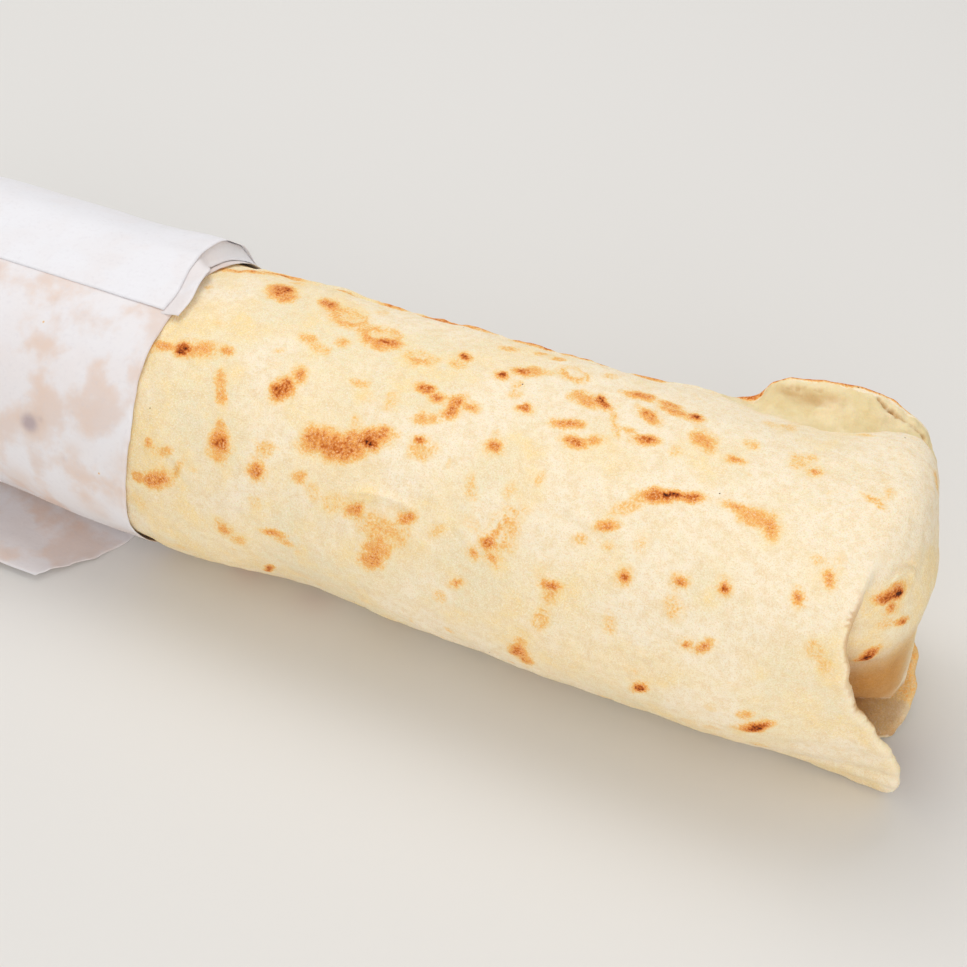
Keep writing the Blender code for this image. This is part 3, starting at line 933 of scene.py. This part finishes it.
def bread_material():
    """Pale baked dough, clouded and floury, then its torn parts and painted shade, then its toast marks.
    """
    material, tree, shader = new_material("toasted flatbread")
    wide, middling, small = grain(tree, 26, 3), grain(tree, 7, 3, 0.1), grain(tree, 1.3, 3, 0.2)
    flour, dust = grain(tree, 0.45, 2, 0.3), grain(tree, 0.24, 2, 0.6)
    place = node(tree, "SeparateXYZ", {"Vector": node(tree, "TexCoord").outputs["Object"]})
    along, upwards = place.outputs[0], place.outputs[2]
    base = mix(tree, between(tree, wide, 0.42, 0.62), CREAM, GREENISH)
    # Where it is yellower and less floury, and where it is more so: along and up, in metres.
    on_tongue = times(
        tree, between(tree, along, 0.11, 0.118), between(tree, upwards, 0.053, 0.045)
    )
    on_top = times(
        tree, between(tree, upwards, 0.028, 0.05), between(tree, along, -0.015, 0.06, 0.0, 0.1)
    )
    on_ear = times(
        tree, between(tree, along, 0.108, 0.118), between(tree, upwards, 0.026, 0.016, 0.0, 0.16)
    )
    yellow = plus(tree, middling, between(tree, along, 0.03, -0.04, 0.0, 0.1))
    yellow = calc(tree, "MULTIPLY_ADD", on_tongue, 0.12, yellow)
    base = mix(tree, between(tree, yellow, 0.46, 0.72), base, YELLOWISH)
    floury = plus(tree, grain(tree, 15, 3, 0.4), between(tree, along, 0.0, 0.09, 0.0, 0.07))
    floury = plus(tree, plus(tree, floury, on_ear), on_top)
    floury = calc(tree, "MULTIPLY_ADD", on_tongue, -0.15, floury)
    base = mix(tree, between(tree, floury, 0.5, 0.68), base, FLOURY)
    base = mix(tree, between(tree, grain(tree, 2.4, 3, 0.9), 0.45, 0.75, 0.0, 0.6), base, TANNED)
    base = mix(tree, between(tree, small, 0.42, 0.72, 0.0, 0.55), base, TANNED)
    base = mix(tree, between(tree, flour, 0.48, 0.72, 0.0, 0.5), base, FLOURY)
    base = mix(tree, between(tree, dust, 0.5, 0.3, 0.0, 0.8), base, TANNED)
    base = mix(tree, between(tree, dust, 0.5, 0.7, 0.0, 0.9), base, FLOURY)
    # Torn crumb, the thin free edge and painted shade, warm as if lit by light bounced inside.
    torn = calc(tree, "SUBTRACT", stored(tree, "inside"), 0.65)
    torn = calc(tree, "MULTIPLY_ADD", grain(tree, 2.2, 4, 0.25), 1.3, torn)
    crumb = mix(tree, between(tree, middling, 0.42, 0.6), CRUMB, CRUMB_PALE)
    base = mix(tree, between(tree, torn, 0.3, 0.6), base, crumb)
    base = mix(tree, times(tree, stored(tree, "edge"), 0.5), base, FLOURY)
    base = mix(tree, stored(tree, "painted_shade"), base, SHADED, "MULTIPLY")
    # Toast, and the painted bounce light on the lower lip, uneven because the flour on top browns in
    # grains.
    toasted = times(tree, stored(tree, "browned"), 0.74)
    toasted = calc(tree, "MAXIMUM", stored(tree, "toast_and_bounce_light"), toasted)
    uneven = times(tree, calc(tree, "SUBTRACT", grain(tree, 0.5, 3, 0.5), 0.5), 0.75)
    patchy = calc(tree, "SUBTRACT", grain(tree, 1.7, 3, 0.7), 0.5)
    uneven = calc(tree, "MULTIPLY_ADD", patchy, 0.4, uneven)
    uneven = times(tree, uneven, between(tree, toasted, 0.0, 0.3))
    level = plus(tree, toasted, uneven)
    brownness = node(tree, "ValToRGB", {"Fac": level})
    stops = brownness.color_ramp.elements
    stops[0].position, stops[0].color = 0.0, PALE_GOLD
    stops[1].position, stops[1].color = 1.0, BURNT
    for position, tone in ((0.32, GOLD), (0.58, ORANGE), (0.78, BROWN), (0.92, DARK)):
        stops.new(position).color = tone
    base = mix(tree, between(tree, level, 0.02, 0.42), base, brownness.outputs[0])
    flecks = times(tree, between(tree, dust, 0.5, 0.66), between(tree, level, 0.85, 0.6, 0.0, 0.4))
    flecks = times(tree, flecks, between(tree, level, 0.1, 0.35))
    base = mix(tree, flecks, base, FLOURY)
    base = mix(tree, specks(tree, 105.0, 0.022, 0.012), base, BURNT)
    tree.links.new(base, shader.inputs["Base Color"])
    shader.inputs["Roughness"].default_value = 0.78
    shader.inputs["Specular IOR Level"].default_value = 0.18
    shader.inputs["Subsurface Weight"].default_value = 0.15
    shader.inputs["Subsurface Radius"].default_value = (1.0, 0.6, 0.3)
    shader.inputs["Subsurface Scale"].default_value = 1.2 * MM
    height = calc(tree, "MULTIPLY_ADD", grain(tree, 1.8, 4, 0.8), 0.7, times(tree, flour, 0.5))
    bumpy(tree, shader, height, 1.0)
    return material


roll.data.materials.clear()
roll.data.materials.append(bread_material())
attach(roll, "root")
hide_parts("flatbread_roll")

# ---------------------------------------------------------------- The paper
# One sheet of thin greaseproof paper, rolled one and a half times round the wrap's left half and
# pressed shut at its end. Its inner turn is the sleeve, its outer turn laps over the back and the
# top, and its outer end lies out on the table in front.

PAPER = 0.08
PLY_GAP = 0.02  # between the outer turn and the sleeve, at least
SLEEVE_INSET = 0.15
MOUTH_WAVE = (1.6, 160.0, 24.0)  # how far its mouth reaches out in front, where, over how many degrees
WAVE_ALONG = (-60.0, -35.0)
LOOSE_BELOW = 1.5  # how far its mouth stands off the roll low down in front
CREASED_SHUT = 0.1  # share of its height that is left at the very end


def crumple(place, fine=1.0):
    """Height of the soft dents and sharp little folds of thin paper at a place."""
    soft = noise.noise(place / 17) * 0.6 + noise.noise(place / 7 + Vector((4, 1, 8))) * 0.3
    fold = abs(noise.noise(place / 11 + Vector((7, 3, 2))))
    small = abs(noise.noise(place / 4.5 + Vector((1, 9, 4))))
    return soft * 0.45 - 0.4 * (0.25 - min(fold, 0.25)) - 0.25 * fine * (0.2 - min(small, 0.2))


def pleat(x, degrees):
    """Height of the pleats that gather towards the pressed end."""
    gathered = 1 - ramp(x, paper_low.x + 2, paper_low.x + 26)
    folds = noise.noise(Vector((x / 30, degrees / 9, 2.5)))
    folds += 0.6 * noise.noise(Vector((x / 18, degrees / 4, 7)))
    return gathered * 1.1 * folds * ramp(x, paper_low.x - 2, paper_low.x + 4)


def sleeve_lift(x, degrees):
    """How far the sleeve's crumpled skin stands off its smooth form here."""
    point = section(x, degrees, SLEEVE_INSET)
    on_table = 1 - ramp(point.z, 0.2, 3)
    height = (0.5 * crumple(point) + pleat(x, degrees)) * (1 - on_table)
    loose = ramp(x, -80, -42) * ramp(degrees, 178, 208) * ramp(degrees, 264, 236)
    return min(height, 0.4 + 0.6 * (1 - ramp(x, -115, -100))) + LOOSE_BELOW * loose


def place_sleeve(x, degrees):
    """The inner turn, all round, from the pressed end to its wavy mouth."""
    point = section(x, degrees, SLEEVE_INSET) + outwards(degrees) * sleeve_lift(x, degrees)
    reach, middle, width = MOUTH_WAVE
    wave = reach * math.exp(-(((degrees - middle) / width) ** 2)) - 0.2
    wave += 0.4 * wander(degrees, 2.2, 14) + 0.2 * wander(degrees, 6.6, 4)
    point.x += wave * ramp(x, *WAVE_ALONG)
    point.z = max(point.z, PAPER)
    height_left = CREASED_SHUT + (1 - CREASED_SHUT) * ramp(x, paper_low.x, paper_low.x + 5)
    point.z = PAPER + (point.z - PAPER) * height_left
    return point


# The sleeve's grid goes all the way round, so its first and last columns are joined.
sleeve_rounds = spread(-90, 270, 300)
sleeve = grid("paper_sleeve", spread(paper_low.x, MOUTH, 110), sleeve_rounds, place_sleeve, closed=False)
seam = bmesh.new()
seam.from_mesh(sleeve.data)
bmesh.ops.remove_doubles(seam, verts=seam.verts, dist=1e-6)
bmesh.ops.recalc_face_normals(seam, faces=seam.faces)
highest = max(seam.faces, key=lambda face: face.calc_center_median().z)
if highest.normal.z < 0:
    bmesh.ops.reverse_faces(seam, faces=seam.faces)
seam.to_mesh(sleeve.data)
seam.free()

LAP_ROUNDS = (-62.0, 106.0)  # the lap leaves the sleeve under the back and ends on top
LAP_START = -116.0
# Where its mouth is: (degrees round, along). Its top corner runs out past the sleeve.
LAP_MOUTH = [(-62, -36), (44, -36.4), (60, -36.8), (72, -36.8), (84, -35.8), (98, -34.5), (106, -35)]
# How far it lies off the sleeve, further left and at the mouth: (degrees round, distance).
LAP_OFF = [(-62, 0.2), (0, 0.5), (36, 2.4), (72, 2.2), (94, 0.5), (106, 0.03)]
LAP_OFF_MOUTH = [(-62, 0.2), (34, 0.9), (50, 3.2), (62, 3.9), (76, 2.9), (92, 1.1), (106, 0.15)]


def place_lap(share, degrees):
    """The outer turn: it lies on the sleeve and stands off it at the mouth, over the back."""
    x = LAP_START + (read(LAP_MOUTH, degrees) + 0.3 * wander(degrees, 4.4, 9) - LAP_START) * share
    at_mouth = ramp(x, -62, -38)
    off = read(LAP_OFF, degrees) * (1 - at_mouth) + read(LAP_OFF_MOUTH, degrees) * at_mouth
    off *= ramp(degrees, LAP_ROUNDS[0] - 1, LAP_ROUNDS[0] + 6) * ramp(x, LAP_START - 1, LAP_START + 3)
    point = section(x, degrees, SLEEVE_INSET)
    loose = ramp(degrees, 102, 84)
    lift = sleeve_lift(x, degrees) * (1 - loose)
    lift += (0.5 * crumple(point + Vector((0, 0, 40))) + pleat(x, degrees)) * loose
    return point + outwards(degrees) * (off + lift + PAPER + PLY_GAP)


def place_corner(share, degrees):
    """The edge of the sheet's inner ply, which comes out under the lap and goes down to the bread;
    at the top corner it is a narrow loose strip."""
    end = read(LAP_MOUTH, degrees)
    out = 2.0 * ramp(degrees, 28, 40) + 2.0 * ramp(degrees, 76, 84) + 0.4 * wander(degrees, 7.1, 12)
    x = end - 3 + (3 + out) * share
    lap_point = place_lap((end - 0.5 - LAP_START) / (end - LAP_START), degrees)
    curl = 1.1 * ramp(share, 0.4, 1) * ramp(degrees, 80, 96)
    down = max(read(LAP_OFF_MOUTH, degrees) - 0.3, 0) * ramp(share, 0.35, 1) * ramp(degrees, 86, 74)
    return Vector((x, lap_point.y, lap_point.z)) + outwards(degrees) * (curl - 0.25 - down)


lap_rounds = spread(LAP_ROUNDS[1], LAP_ROUNDS[0], 150)
lap = grid("paper_lap", spread(0, 1, 84), lap_rounds, place_lap, closed=False)
corner = grid("paper_corner", spread(0, 1, 12), spread(107.5, 28, 84), place_corner, closed=False)

TAIL_LEFT = -112.0
TAIL_START = -6.0  # across, under the roll
TAIL_REACH = 33.4  # how far the tail runs out from there
TAIL_CORNER = 8.0  # how much its left corner is cut back
# Its right edge: (share of its reach, along).
TAIL_RIGHT = [(0.4, -43.5), (0.65, -46), (0.8, -49.5), (0.93, -52.5), (1.0, -54)]


def place_tail(part, share):
    """The outer end of the sheet, out from under the roll and a little wavy on the table."""
    left = TAIL_LEFT + TAIL_CORNER * ramp(share, 0.8, 1)
    right = read(TAIL_RIGHT, share) + 0.4 * wander(share * 30, 3.3, 5)
    along = left + (right - left) * part
    across = TAIL_START - TAIL_REACH * share + 0.5 * wander(along, 8.8, 12) * ramp(share, 0.7, 1)
    point = Vector((along, across, 0))
    out_of_roll = ramp(-across, 22, 31)
    waves = 0.9 * noise.noise(point / 16 + Vector((3, 3, 3))) + 0.35 * noise.noise(point / 6)
    point.z = 0.2 + out_of_roll * max(0.5 + waves, 0) + 1.0 * ramp(share, 0.6, 1)
    return point


tail = grid("paper_tail", spread(0, 1, 80), spread(1, 0, 44), place_tail, closed=False)
for obj in (sleeve, lap, corner, tail):
    thicken(obj, PAPER)

# What shows through the paper where it clings to the oily bread, and its stains: along, degrees
# round, width, strength.
OIL = [
    (-55, 165, 7, 0.9),
    (-45, 171, 5, 0.5),
    (-42, 199, 9, 0.55),
    (-33, 172, 7, 0.5),
    (-40, 150, 8, 0.35),
    (-61, 199, 9, 0.5),
    (-54, 84, 6, 0.3),
    (-61, 125, 7, 0.3),
    (-38, 215, 9, 0.6),
    (-36, 186, 8, 0.5),
    (-48, 225, 10, 0.4),
    (-70, 150, 12, 0.6),
    (-85, 175, 10, 0.7),
    (-98, 140, 9, 0.5),
    (-60, 250, 12, 0.5),
    (-80, 320, 12, 0.5),
]
CORES = [(-55.5, 165, 3.6, 1.0), (-53, 162, 2, 0.5), (-47, 176, 2.6, 0.35), (-84, 172, 4, 0.8)]


def blots(obj, spots):
    """How strongly round spots on the roll show at each point of a piece of paper."""
    places, _ = points_of(obj)
    strength = np.zeros(len(places))
    for along, degrees, width, strong in spots:
        away = places - np.array(section(along, degrees))
        distance = np.linalg.norm(away, axis=1) / width
        strength = np.maximum(strength, strong * np.exp(-2.5 * distance * distance))
    return strength


# How much of the bread each piece lets through: the sleeve touches it, the lap lies over the sleeve.
for obj, shows in ((sleeve, 1.0), (lap, 0.12), (corner, 0.4), (tail, 0.9)):
    keep(obj, "shows", np.full(len(obj.data.vertices), shows))
    keep(obj, "oil", blots(obj, OIL) * shows)
    keep(obj, "core", blots(obj, CORES) * shows)

PAPER_WHITE = colour(252, 251, 254)
PAPER_PINK = colour(243, 227, 219)
PAPER_PEACH = colour(246, 217, 196)
PAPER_OILED = colour(240, 214, 196)
PAPER_STAINED = colour(190, 172, 176)
PAPER_GREY = colour(228, 222, 226)


def paper_material(name, glowing):
    """White translucent paper, pinkish where it clings to the bread, with oil and sauce behind it.
    Glowing is the share of light that it lets through."""
    material, tree, shader = new_material(name)
    clouds = grain(tree, 11, 6, 0.15)
    clings = between(tree, clouds, 0.43, 0.62)
    through = times(tree, stored(tree, "shows"), calc(tree, "MULTIPLY_ADD", clings, 0.8, 0.2))
    base = mix(tree, through, PAPER_WHITE, PAPER_PINK)
    warm = between(tree, grain(tree, 20, 3, 0.35), 0.44, 0.62)
    base = mix(tree, times(tree, times(tree, through, warm), 0.5), base, PAPER_PEACH)
    ragged = calc(tree, "MULTIPLY_ADD", grain(tree, 5, 4, 0.6), 1.2, 0.4)
    ragged = times(tree, stored(tree, "oil"), ragged)
    base = mix(tree, between(tree, ragged, 0.1, 0.9, 0.0, 0.75), base, PAPER_OILED)
    base = mix(tree, between(tree, stored(tree, "core"), 0.15, 0.9, 0.0, 0.8), base, PAPER_STAINED)
    fibres = grain(tree, 0.9, 3, 0.8)
    base = mix(tree, between(tree, fibres, 0.5, 0.75, 0.0, 0.18), base, PAPER_GREY)
    crumbs = times(tree, specks(tree, 90.0, 0.03, 0.015), times(tree, stored(tree, "shows"), 0.8))
    base = mix(tree, crumbs, base, GOLD)
    tree.links.new(base, shader.inputs["Base Color"])
    shader.inputs["Roughness"].default_value = 0.5
    shader.inputs["Specular IOR Level"].default_value = 0.35
    height = calc(tree, "MULTIPLY_ADD", grain(tree, 3, 4, 0.9), 0.7, times(tree, fibres, 0.3))
    bumpy(tree, shader, height, 0.35)
    glow = node(tree, "BsdfTranslucent", {"Color": base})
    both = node(tree, "MixShader", {0: glowing, 1: shader.outputs[0], 2: glow.outputs[0]})
    tree.links.new(both.outputs[0], tree.nodes["Material Output"].inputs["Surface"])
    return material


clinging = paper_material("greaseproof paper on the bread", 0.16)
loose_paper = paper_material("greaseproof paper", 0.18)
for obj in (sleeve, lap, corner, tail):
    obj.data.materials.append(clinging if obj is sleeve else loose_paper)
    obj.data.shade_smooth()
    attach(obj, "root")
    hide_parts("paper_wrap")

# ---------------------------------------------------------------- Floor, light and camera
# A plain pale floor with an even white studio round it, a soft key light from behind on the left
# and a soft fill in front on the right. The camera looks down on the wrap from in front.

bpy.ops.mesh.primitive_plane_add(size=6)
floor = bpy.context.object
floor.name = "floor"
floor_material, _, floor_shader = new_material("floor")
floor_shader.inputs["Base Color"].default_value = (0.76, 0.74, 0.71, 1)
floor_shader.inputs["Roughness"].default_value = 0.7
floor.data.materials.append(floor_material)

world = bpy.data.worlds.new("studio")
bpy.context.scene.world = world
world.use_nodes = True
background = world.node_tree.nodes["Background"]
background.inputs["Color"].default_value = (1, 1, 1, 1)
background.inputs["Strength"].default_value = 0.585

scene = bpy.context.scene
scene.view_settings.view_transform = "Standard"

# The camera's turn to the right and upwards, in degrees, its distance in metres and its lens.
CAMERA_TURN = 26.7
CAMERA_RISE = 40.0
CAMERA_AWAY = 0.4099
LENS = 75.83
SENSOR = 36
aim = Vector((0.0325, 0.0, 0.030))
turn, rise = math.radians(CAMERA_TURN), math.radians(CAMERA_RISE)
right = Vector((math.cos(turn), math.sin(turn), 0))
back = Vector((math.sin(turn) * math.cos(rise), -math.cos(turn) * math.cos(rise), math.sin(rise)))
camera_data = bpy.data.cameras.new("camera")
camera = bpy.data.objects.new("camera", camera_data)
scene.collection.objects.link(camera)
camera_data.lens = LENS
camera_data.sensor_width = SENSOR
facing_wrap = Matrix((right, back.cross(right), back)).transposed()
camera.matrix_world = Matrix.Translation(aim + back * CAMERA_AWAY) @ facing_wrap.to_4x4()
scene.camera = camera


def softbox(name, place, size, power):
    """A square light that faces the wrap, in metres and watts."""
    light = bpy.data.lights.new(name, "AREA")
    light.size = size
    light.energy = power
    obj = bpy.data.objects.new(name, light)
    scene.collection.objects.link(obj)
    obj.location = place
    obj.rotation_euler = (aim - Vector(place)).to_track_quat("-Z", "Y").to_euler()


softbox("key", (-0.2, 0.25, 0.75), 0.5, 2.5)
softbox("fill", (0.4, -0.68, 0.4), 0.6, 2.6)
